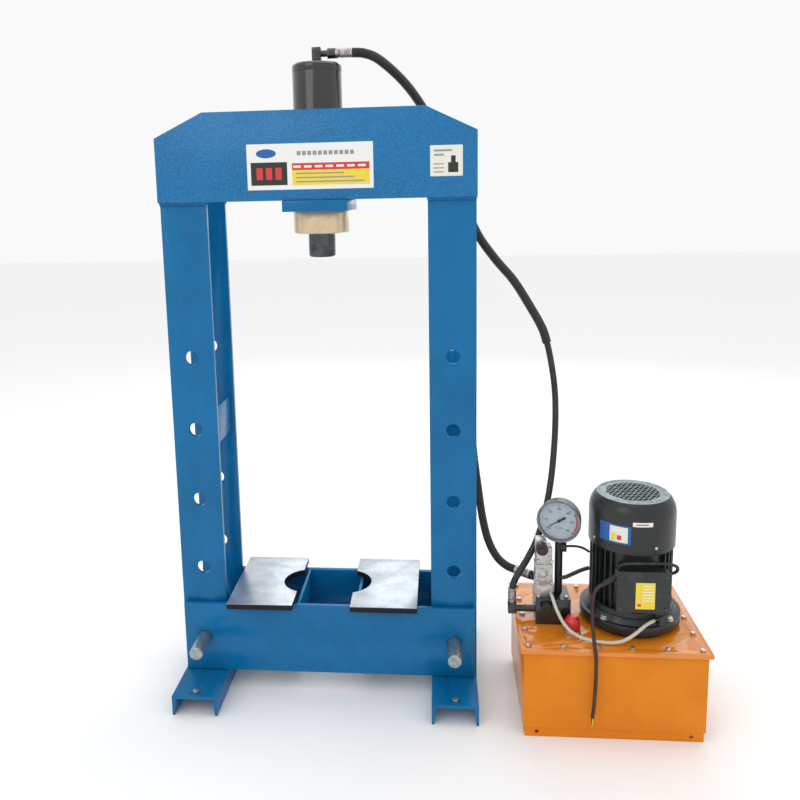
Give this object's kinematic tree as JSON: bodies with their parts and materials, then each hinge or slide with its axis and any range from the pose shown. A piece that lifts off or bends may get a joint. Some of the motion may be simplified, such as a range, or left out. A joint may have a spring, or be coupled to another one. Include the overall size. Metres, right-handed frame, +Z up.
{
  "type": "hydraulic shop press",
  "caption": "Welded H-frame press with a hydraulic ram in its crown, a pinned bed with loose notched plates, and an electric power unit on an oil tank beside it.",
  "frame": {"origin": "on the floor, under the middle of the footprint of the press and its power unit together", "axes": "+Z up, +Y towards the back, +X from the press towards its power unit"},
  "size_m": [1.357, 0.5394, 1.712],
  "materials": {
    "blue_paint": "glossy blue enamel, hammertone on the crown",
    "orange_paint": "glossy orange enamel",
    "black_paint": "glossy black enamel",
    "bare_steel": "bare mottled steel",
    "zinc": "grey zinc plating",
    "yellow_zinc": "yellow zinc plating",
    "bronze": "turned bronze",
    "rubber": "black rubber",
    "clear_tube": "milky soft plastic",
    "red_plastic": "glossy red plastic",
    "black_plastic": "black moulded plastic",
    "cast_black": "cast, painted black",
    "cast_grey": "cast grey",
    "copper_core": "laminated steel core",
    "gauge_steel": "polished steel"
  },
  "bodies": {
    "frame": {"left_post_front_plate": "blue_paint", "left_post_rear_plate": "blue_paint", "right_post_front_plate": "blue_paint", "right_post_rear_plate": "blue_paint", "stiffener_plates": "blue_paint", "crown_front_plate": "blue_paint", "crown_rear_plate": "blue_paint", "cylinder_bolster": "blue_paint", "foot_channels": "blue_paint", "foot_bolts": "zinc", "weld_beads": "blue_paint", "bed_front_plate": "blue_paint", "bed_rear_plate": "blue_paint", "bed_cross_plates": "blue_paint", "cylinder_barrel": "black_paint", "cylinder_cap": "black_paint", "gland_ring": "yellow_zinc", "rod_bush": "bronze", "rod_wiper": "rubber", "port_elbows": "zinc", "hose_ferrules": "zinc", "hose_a": "rubber", "hose_b": "rubber", "return_tube": "clear_tube", "oil_tank": "orange_paint", "tank_skids": "orange_paint", "tank_lid": "orange_paint", "lid_bolts": "zinc", "filler_neck": "zinc", "motor_flange": "cast_black", "motor_frame": "cast_black", "motor_end_shield": "cast_black", "motor_bearings": "bare_steel", "stator_core": "copper_core", "fan_cowl": "black_plastic", "terminal_box": "black_plastic", "terminal_box_lid": "black_plastic", "cable_gland": "black_plastic", "mains_cable": "rubber", "valve_cables": "rubber", "pump_body": "cast_grey", "suction_strainer": "bare_steel", "valve_manifold": "black_paint", "directional_valve": "cast_grey", "pressure_switch": "black_plastic", "pressure_gauge": "gauge_steel"},
    "ram_body": {"ram": "black_paint", "piston": "zinc", "piston_seals": "rubber"},
    "left_pin_body": {"left_pin": "zinc"},
    "right_pin_body": {"right_pin": "zinc"},
    "left_bench": {"left_bench_plate": "bare_steel"},
    "right_bench": {"right_bench_plate": "bare_steel"},
    "motor_shaft": {"motor_rotor": "bare_steel", "motor_fan": "black_plastic"},
    "idler": {"pump_idler_gear": "bare_steel"},
    "spool": {"valve_spool": "bare_steel"},
    "relief_screw": {"relief_knob": "black_plastic"},
    "breather": {"filler_cap": "red_plastic"},
    "pointer": {"gauge_needle": "black_plastic"}
  },
  "joints": [
    {"name": "ram_slide", "type": "slide", "parent": "frame", "child": "ram_body", "axis": [0, 0, -1], "range_m": [0, 0.15]},
    {"name": "left_pin_slide", "type": "slide", "parent": "frame", "child": "left_pin_body", "axis": [0, -1, 0], "range_m": [0, 0.22]},
    {"name": "right_pin_slide", "type": "slide", "parent": "frame", "child": "right_pin_body", "axis": [0, -1, 0], "range_m": [0, 0.22]},
    {"name": "left_bench_slide", "type": "slide", "parent": "frame", "child": "left_bench", "axis": [1, 0, 0], "range_m": [-0.01, 0.07]},
    {"name": "right_bench_slide", "type": "slide", "parent": "frame", "child": "right_bench", "axis": [1, 0, 0], "range_m": [-0.07, 0.033]},
    {"name": "motor_spin", "type": "hinge", "parent": "frame", "child": "motor_shaft", "pos_m": [0.52, -0.084, 0.4], "axis": [0, 0, 1], "continuous": true},
    {"name": "idler_spin", "type": "hinge", "parent": "frame", "child": "idler", "pos_m": [0.52, -0.054, 0.107], "axis": [0, 0, 1], "continuous": true},
    {"name": "spool_slide", "type": "slide", "parent": "frame", "child": "spool", "axis": [0, 1, 0], "range_m": [-0.004, 0.004], "stiffness_N_per_m": 500},
    {"name": "relief_turn", "type": "hinge", "parent": "frame", "child": "relief_screw", "pos_m": [0.3, -0.136, 0.288], "axis": [0, -1, 0], "range_deg": [-360, 360]},
    {"name": "breather_turn", "type": "hinge", "parent": "frame", "child": "breather", "pos_m": [0.361, -0.168, 0.25], "axis": [0, 0, 1], "range_deg": [0, 60]},
    {"name": "needle_turn", "type": "hinge", "parent": "frame", "child": "pointer", "pos_m": [0.336, -0.098, 0.507], "axis": [0.309, 0.9511, 0], "range_deg": [0, 270]}
  ],
  "couplings": [
    {"joint": "idler_spin", "follows": "motor_spin", "ratio": -1}
  ]
}
